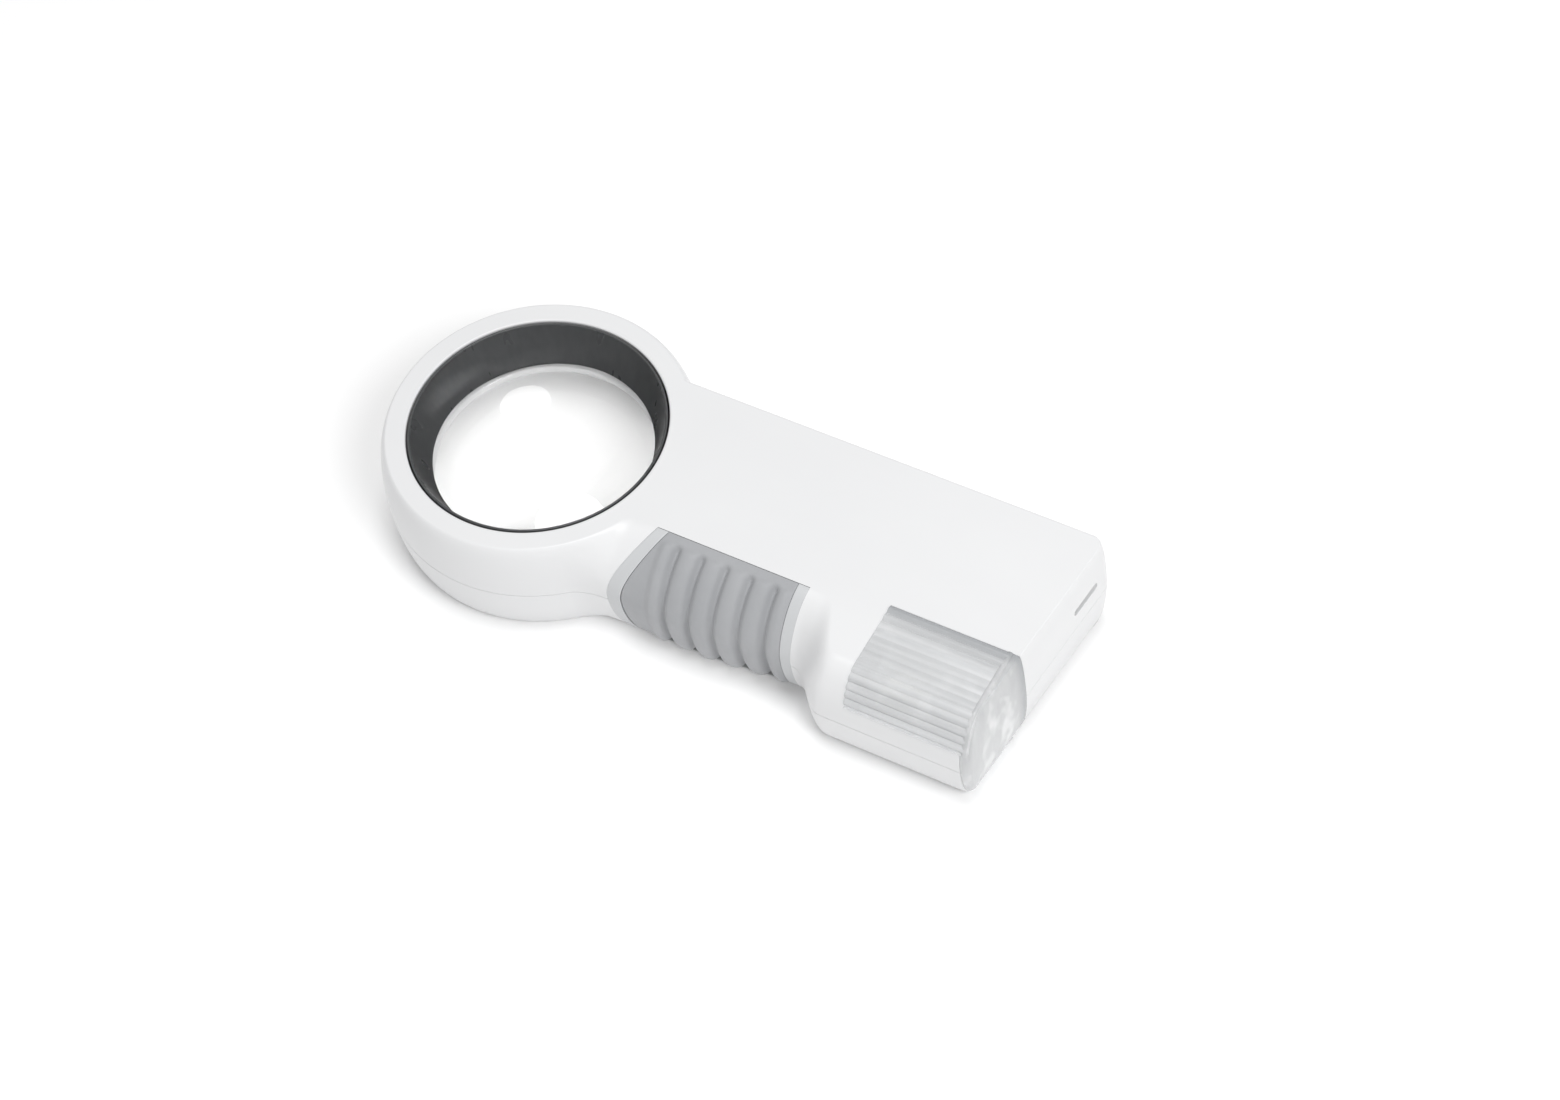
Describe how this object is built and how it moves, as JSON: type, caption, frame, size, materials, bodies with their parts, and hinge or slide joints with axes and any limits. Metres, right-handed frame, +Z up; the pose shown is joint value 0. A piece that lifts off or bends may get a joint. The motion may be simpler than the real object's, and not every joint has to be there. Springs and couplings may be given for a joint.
{
  "type": "low vision magnifier",
  "caption": "Illuminated hand magnifier: a round lens head on a flat white battery handle, with a ribbed grey squeeze grip and a ribbed translucent lamp cover on one corner.",
  "frame": {"origin": "bottom centre of the whole object, lying flat with its lens axis upright", "axes": "+X along the handle away from the lens head, +Z up along the lens axis; the grip and the lamp cover are on the -Y side"},
  "size_m": [0.1427, 0.0632, 0.0246],
  "materials": {
    "white_plastic": "satin white moulding",
    "charcoal_plastic": "semi-gloss charcoal moulding",
    "lens_glass": "polished clear lens",
    "clear_plastic": "clear moulding",
    "frosted_plastic": "ribbed translucent moulding",
    "grey_rubber": "matt soft grip",
    "light_grey_plastic": "satin light grey moulding",
    "black_plastic": "matt black moulding",
    "spring_steel": "nickel plated",
    "circuit_board": "green solder mask",
    "switch_plastic": "matt black moulding",
    "led_resin": "water-clear resin over a pale phosphor",
    "cell_jacket": "plain printed jacket",
    "red_insulation": "smooth",
    "black_insulation": "smooth"
  },
  "bodies": {
    "casing": {"upper_shell": "white_plastic", "lower_shell": "white_plastic", "lens": "lens_glass", "lens_sleeve": "charcoal_plastic", "lens_retainer": "charcoal_plastic", "light_window": "clear_plastic", "reading_led": "led_resin", "led_board": "circuit_board", "grip_hinge_pin": "spring_steel", "grip_trim_left": "light_grey_plastic", "grip_trim_right": "light_grey_plastic", "switch_board": "circuit_board", "grip_switch": "switch_plastic", "lamp_board": "circuit_board", "lamp_led": "led_resin", "battery_tray": "black_plastic", "contact_bridge": "spring_steel", "contact_plus": "spring_steel", "contact_minus": "spring_steel", "contact_spring_1": "spring_steel", "contact_spring_2": "spring_steel", "cell_1": "cell_jacket", "cell_2": "cell_jacket", "case_screw_1": "spring_steel", "case_screw_2": "spring_steel", "case_screw_3": "spring_steel", "reading_lead_red": "red_insulation", "reading_lead_black": "black_insulation", "lamp_lead_red": "red_insulation", "lamp_lead_black": "black_insulation"},
    "grip": {"grip_pad": "grey_rubber", "grip_lever": "black_plastic"},
    "lamp_cover": {"lamp_cover": "frosted_plastic"},
    "battery_door": {"battery_door": "white_plastic"}
  },
  "joints": [
    {"name": "grip_squeeze", "type": "hinge", "parent": "casing", "child": "grip", "pos_m": [0.01022, -0.0146, 0.0168], "axis": [1, 0, 0], "range_deg": [0, 2.5], "stiffness_Nm_per_rad": 0.57},
    {"name": "lamp_cover_slide", "type": "slide", "parent": "casing", "child": "lamp_cover", "axis": [1, 0, 0], "range_m": [0, 0.03]},
    {"name": "battery_door_slide", "type": "slide", "parent": "casing", "child": "battery_door", "axis": [1, 0, 0], "range_m": [0, 0.075]}
  ]
}
